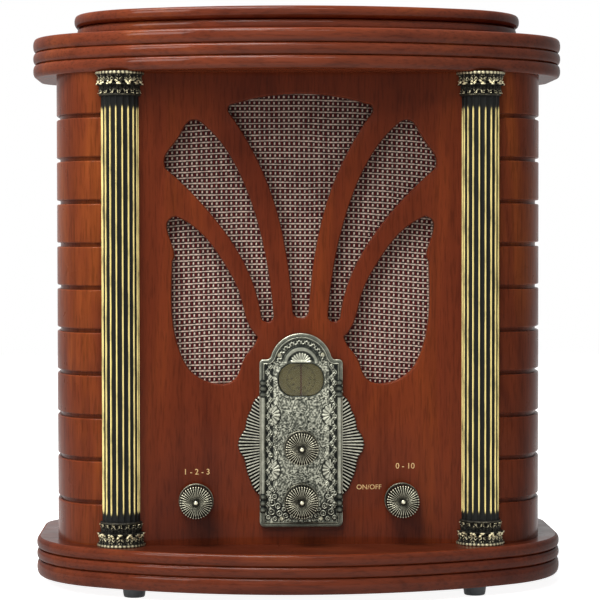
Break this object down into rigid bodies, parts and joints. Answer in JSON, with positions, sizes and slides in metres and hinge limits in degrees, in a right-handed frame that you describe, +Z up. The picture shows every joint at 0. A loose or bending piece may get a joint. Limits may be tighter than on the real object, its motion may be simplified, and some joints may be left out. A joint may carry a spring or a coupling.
{
  "type": "table radio",
  "caption": "Tombstone table radio with stepped mouldings, fluted half columns, a pierced sunburst grille and a brass dial plate between turning knobs.",
  "frame": {"origin": "middle of the outer box in plan, at the bottom of the feet", "axes": "+Z up, the front with grille and knobs faces -Y, +X to the viewer's right"},
  "size_m": [0.3076, 0.176, 0.3288],
  "materials": {
    "antique_brass": "aged grey-green brass",
    "black_steel": "painted black",
    "board_green": "solder mask",
    "cloth": "woven grille cloth",
    "column_finish": "black with rubbed gold ridges",
    "control_case": "moulded",
    "cord_thread": "waxed thread",
    "dial_print": "printed card disc",
    "ferrite": "sintered rod",
    "glazing": "clear",
    "hairline_red": "painted wire",
    "hardboard": "pressed board",
    "knob_black": "dark moulded plastic with rubbed gilt",
    "lacquered_wood": "gloss lacquered reddish veneer",
    "lamination": "varnished steel",
    "magnet": "ferrite and plated cap",
    "nylon": "moulded nylon",
    "paper_cone": "pressed paper",
    "part_mixed": "moulded",
    "raw_wood": "plain board",
    "rubber": "matt",
    "shaft_alloy": "turned",
    "zinc_steel": "zinc plated"
  },
  "bodies": {
    "cabinet": {"aerial_holders": "nylon", "band_switch": "control_case", "board_parts": "part_mixed", "board_screws": "zinc_steel", "board_standoffs": "nylon", "bracket_bushes": "antique_brass", "bracket_screws": "zinc_steel", "cabinet_side_left": "lacquered_wood", "cabinet_side_right": "lacquered_wood", "circuit_board": "board_green", "column_capital_left": "column_finish", "column_capital_right": "column_finish", "column_pedestal_left": "column_finish", "column_pedestal_right": "column_finish", "column_shaft_left": "column_finish", "column_shaft_right": "column_finish", "control_bracket": "zinc_steel", "control_nuts": "zinc_steel", "cord_gland": "control_case", "cornice": "lacquered_wood", "dial_cord": "cord_thread", "dial_hairline": "hairline_red", "dial_lamp": "nylon", "dial_window": "glazing", "escutcheon_pins": "antique_brass", "escutcheon_plate": "antique_brass", "escutcheon_rods": "antique_brass", "escutcheon_wing_left": "antique_brass", "escutcheon_wing_right": "antique_brass", "ferrite_aerial": "ferrite", "foot_screws": "zinc_steel", "front_panel": "lacquered_wood", "glue_blocks": "raw_wood", "grille_cloth": "cloth", "mains_transformer": "lamination", "plinth": "lacquered_wood", "rear_panel": "hardboard", "rear_screws": "zinc_steel", "rubber_feet": "rubber", "speaker_baffle": "raw_wood", "speaker_basket": "black_steel", "speaker_cone": "paper_cone", "speaker_magnet": "magnet", "speaker_screws": "zinc_steel", "strap_screws": "zinc_steel", "tone_control": "control_case", "top_cap": "lacquered_wood", "transformer_strap": "zinc_steel", "tuning_capacitor": "zinc_steel", "volume_control": "control_case"},
    "tuning": {"tuning_knob": "knob_black", "tuning_shaft": "shaft_alloy"},
    "dial": {"dial_disc": "dial_print", "dial_shaft": "shaft_alloy"},
    "tone": {"tone_knob": "knob_black", "tone_shaft": "shaft_alloy"},
    "volume": {"volume_knob": "knob_black", "volume_shaft": "shaft_alloy"},
    "band": {"band_knob": "knob_black", "band_shaft": "shaft_alloy"}
  },
  "joints": [
    {"name": "tuning_turn", "type": "hinge", "parent": "cabinet", "child": "tuning", "pos_m": [0, -0.047, 0.0823], "axis": [0, 1, 0], "range_deg": [-270, 270]},
    {"name": "dial_turn", "type": "hinge", "parent": "cabinet", "child": "dial", "pos_m": [0, -0.042, 0.1204], "axis": [0, 1, 0], "range_deg": [-90, 90]},
    {"name": "tone_turn", "type": "hinge", "parent": "cabinet", "child": "tone", "pos_m": [0, -0.047, 0.0525], "axis": [0, 1, 0], "range_deg": [-150, 150]},
    {"name": "volume_turn", "type": "hinge", "parent": "cabinet", "child": "volume", "pos_m": [0.0566, -0.045, 0.0525], "axis": [0, 1, 0], "range_deg": [0, 300]},
    {"name": "band_turn", "type": "hinge", "parent": "cabinet", "child": "band", "pos_m": [-0.059, -0.045, 0.0525], "axis": [0, 1, 0], "range_deg": [-30, 30]}
  ],
  "couplings": [
    {"joint": "dial_turn", "follows": "tuning_turn", "ratio": 0.33333}
  ]
}
